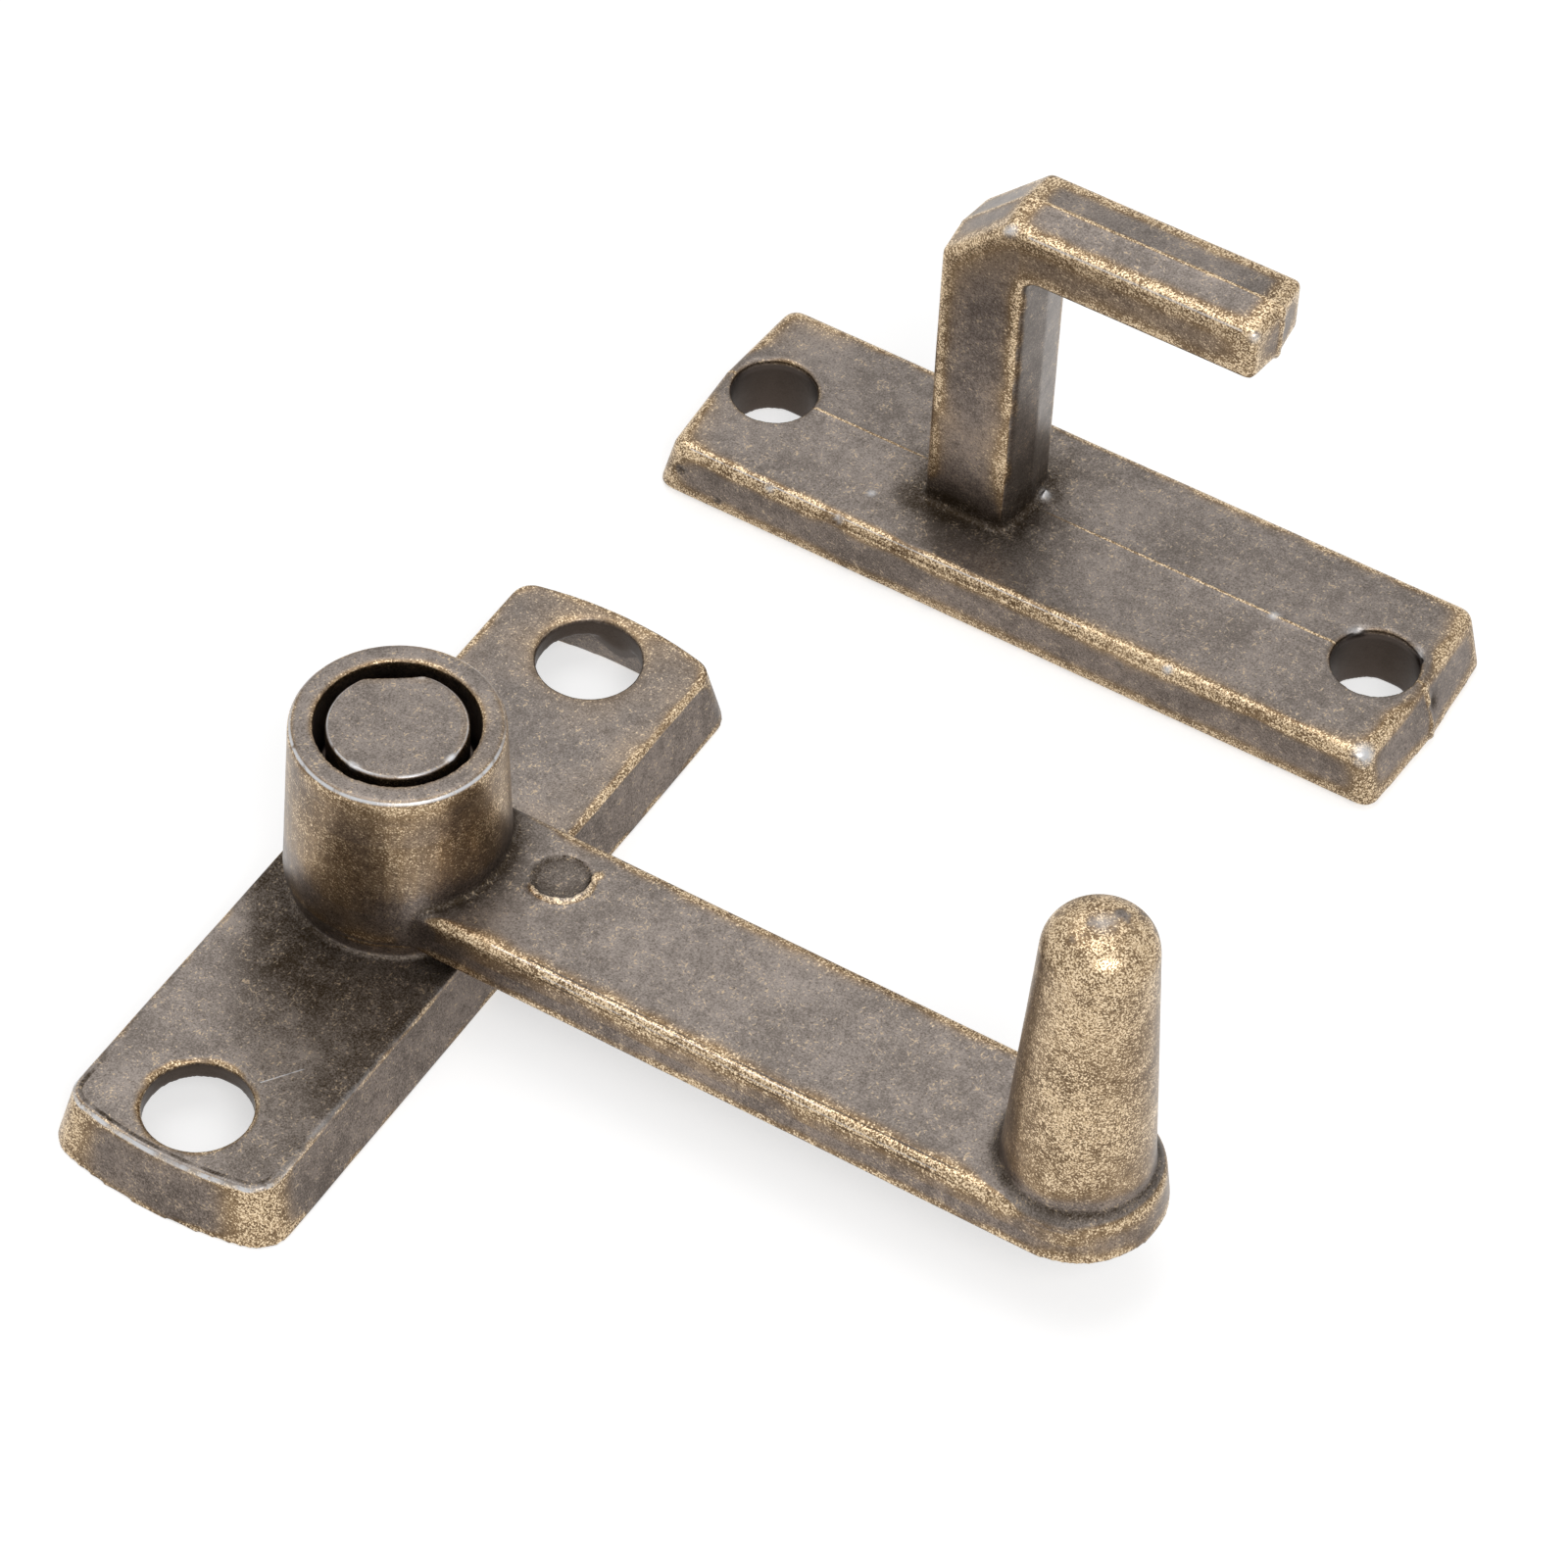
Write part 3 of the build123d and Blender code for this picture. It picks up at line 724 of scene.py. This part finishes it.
tree, came, goes = new_group("rim_line", {"Vector": "Vector", "Centre": "Vector", "Radius": "Float", "Half": "Float"},
                             {"Line": "Float"})
offset = add(tree, "SeparateXYZ", {0: vector_calc(tree, "SUBTRACT", came["Vector"], came["Centre"])}).outputs
flat = calc(tree, "SQRT", calc(tree, "MULTIPLY_ADD", offset["X"], offset["X"],
                               calc(tree, "MULTIPLY", offset["Y"], offset["Y"])))
away = calc(tree, "SUBTRACT", flat, came["Radius"])
away = calc(tree, "SQRT", calc(tree, "MULTIPLY_ADD", away, away, calc(tree, "MULTIPLY", offset["Z"], offset["Z"])))
put(tree, goes["Line"], thin_line(tree, away, came["Half"], 0.4))
rim_group = tree

tree, came, goes = new_group("straight_line", {"Vector": "Vector", "From": "Vector", "To": "Vector", "Half": "Float"},
                             {"Line": "Float"})
stroke = vector_calc(tree, "SUBTRACT", came["To"], came["From"])
offset = vector_calc(tree, "SUBTRACT", came["Vector"], came["From"])
share = calc(tree, "DIVIDE", vector_calc(tree, "DOT_PRODUCT", offset, stroke),
             vector_calc(tree, "DOT_PRODUCT", stroke, stroke))
share = calc(tree, "MINIMUM", calc(tree, "MAXIMUM", share, 0.0), 1.0)
spot = add(tree, "VectorMath", {0: stroke, "Scale": share}, operation="SCALE").outputs["Vector"]
away = vector_calc(tree, "LENGTH", vector_calc(tree, "SUBTRACT", offset, spot))
put(tree, goes["Line"], thin_line(tree, away, came["Half"], 0.3))
straight_group = tree
print("groups", rim_group.name, straight_group.name)

# %% Places of the lines
# In millimetres. A rim or groove is a centre, a radius and a half width. A scratch, painted highlight or painted dark
# band of reflection is its two ends, a half width and a strength. A lip is a bright and a dull line, each a distance
# past the crest and a half width.
RIMS = {"swing_arm": [((0, 0, 14.50), 5.25, 0.14)],
        "pivot_rivet": [((0, 0, 14.48), 3.43, 0.10)]}
# The base plate's stroke is a scratch; the arm's and the keeper's strokes along their edges are painted highlights.
SCRATCHES_AND_HIGHLIGHTS = {"base_plate": [((1.73, -14.7, 3.5), (3.01, -12.9, 3.5), 0.05, 1.0)],
             "swing_arm": [((8.0, -3.98, 7.10), (27.0, -3.98, 7.10), 0.06, 0.5),
                           ((11.0, -4.22, 6.92), (33.0, -4.22, 6.92), 0.06, 0.4)],
             "keeper": [((-3.5, 33.02, 3.57), (20.0, 33.02, 3.57), 0.06, 0.5),
                        ((13.4, 36.67, 24.62), (25.4, 36.67, 24.62), 0.08, 0.45)]}
GROOVES = {"swing_arm": [((*MARK, BAR_TOP - 0.03), MARK_RADIUS - 0.02, 0.13)]}
# The arm's dull strokes are painted dark bands of reflection along its near edge, between the painted highlights.
DARK_REFLECTION_LINES = {"swing_arm": [((10.0, -3.80, 7.14), (34.0, -3.80, 7.14), 0.09, 0.5),
                         ((9.0, -4.30, 6.74), (35.0, -4.30, 6.74), 0.09, 0.5)]}
LIPS = {"base_plate": ((0.03, 0.10), (-0.24, 0.14))}
SEAM_HALF = 0.11 * MM
print("lines on", sorted({*RIMS, *SCRATCHES_AND_HIGHLIGHTS, *GROOVES, *DARK_REFLECTION_LINES, *LIPS}))

# %% Line helpers
def layer(tree, title):
    """Values painted on the piece, or 0 where it has none of that title."""
    return add(tree, "Attribute", attribute_name=title).outputs["Fac"]


def rim_lines(tree, place, rims):
    """One mask per rim, as strong as the painted line lets it be."""
    painted = layer(tree, "line")
    for centre, radius, half in rims:
        values = {"Vector": place, "Centre": Vector(centre) * MM, "Radius": radius * MM, "Half": half * MM}
        yield calc(tree, "MULTIPLY", use_group(tree, rim_group, values)["Line"], painted)


def stroke_lines(tree, place, strokes):
    """One mask per straight stroke, at the stroke's own strength."""
    for start, end, half, strength in strokes:
        values = {"Vector": place, "From": Vector(start) * MM, "To": Vector(end) * MM, "Half": half * MM}
        yield calc(tree, "MULTIPLY", use_group(tree, straight_group, values)["Line"], strength)


def lip_line(tree, middle, half):
    """Thin line at a distance past the base plate's crest, in millimetres."""
    off = calc(tree, "ABSOLUTE", calc(tree, "SUBTRACT", layer(tree, "past"), middle))
    return calc(tree, "MULTIPLY", thin_line(tree, off, half, 0.4), layer(tree, "line"))


def seam_rub(tree, place):
    """Painted rub with the mould's seam added as a thin line; only the keeper has a seam painted on it."""
    across = add(tree, "SeparateXYZ", {0: place}).outputs["Y"]
    off = calc(tree, "ABSOLUTE", calc(tree, "SUBTRACT", across, KEEPER[1] * MM))
    drawn = calc(tree, "MULTIPLY", thin_line(tree, off, SEAM_HALF, 0.35), layer(tree, "seam"))
    return calc(tree, "MULTIPLY_ADD", drawn, 1.2, layer(tree, "rub"))


def strongest(tree, mask, lines):
    """Largest of a mask and some lines."""
    for line in lines:
        mask = calc(tree, "MAXIMUM", mask, line)
    return mask


print("line helpers ready")

# %% Casting materials
RELIEF, RELIEF_STRENGTH = 0.014 * MM, 0.6


def aged_brass(name, node, edge_gain, start):
    """Aged brass with a piece's own measure of edge wear, its own start of the rub and its own thin lines."""
    material = bpy.data.materials.new(name)
    material.use_nodes = True
    tree = material.node_tree
    place = add(tree, "TexCoord").outputs["Object"]
    grain = use_group(tree, grain_group, {"Vector": place})
    bright = [*rim_lines(tree, place, RIMS.get(node, ())), *stroke_lines(tree, place, SCRATCHES_AND_HIGHLIGHTS.get(node, ()))]
    dull = [*rim_lines(tree, place, GROOVES.get(node, ())), *stroke_lines(tree, place, DARK_REFLECTION_LINES.get(node, ()))]
    if node in LIPS:
        bright_lip, dull_lip = LIPS[node]
        bright.append(lip_line(tree, *bright_lip))
        dull.append(lip_line(tree, *dull_lip))
    shared = {title: grain[title] for title in ("Grain", "Streak", "Mottle", "Cloud")}
    shared["Side"] = layer(tree, "side")
    shared["Hollow_And_Shade"] = strongest(tree, layer(tree, "hollow"), dull)
    rub = use_group(tree, rub_group, {"Edge": layer(tree, "edge"), "Spread": layer(tree, "spread"),
                                      "Rub": seam_rub(tree, place), "Edge Gain": edge_gain, "Start": start, **shared})
    finish = use_group(tree, finish_group, {"Brass": rub["Brass"], "Worn": rub["Worn"], "Bore": layer(tree, "bore"),
                                            "Bare_And_Highlight": strongest(tree, layer(tree, "bare"), bright), **shared})
    shader = tree.nodes["Principled BSDF"]
    shader.inputs["Metallic"].default_value = 1.0
    put(tree, shader.inputs["Base Color"], finish["Color"])
    put(tree, shader.inputs["Roughness"], finish["Roughness"])
    bump = add(tree, "Bump", {"Strength": RELIEF_STRENGTH, "Distance": RELIEF, "Height": finish["Height"]})
    put(tree, shader.inputs["Normal"], bump.outputs["Normal"])
    return material


# Each piece has its slot, its body, its gain of edge wear and the start of its rub.
FINISHES = {"base_plate": ("base_casting", "fixed", 1.0, 0.80), "swing_arm": ("arm_casting", "arm", 1.05, 0.78),
            "pivot_rivet": ("rivet", "fixed", 0.75, 0.85), "keeper": ("keeper_casting", "fixed", 0.98, 0.80)}
for node, (slot, body, edge_gain, start) in FINISHES.items():
    skin = skins[node]
    skin.settle()
    skin.mesh.materials.clear()
    skin.mesh.materials.append(aged_brass(slot + "_finish", node, edge_gain, start))
    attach(skin.object, body)
    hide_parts(node)
    print(node, "dressed as", skin.object.name)
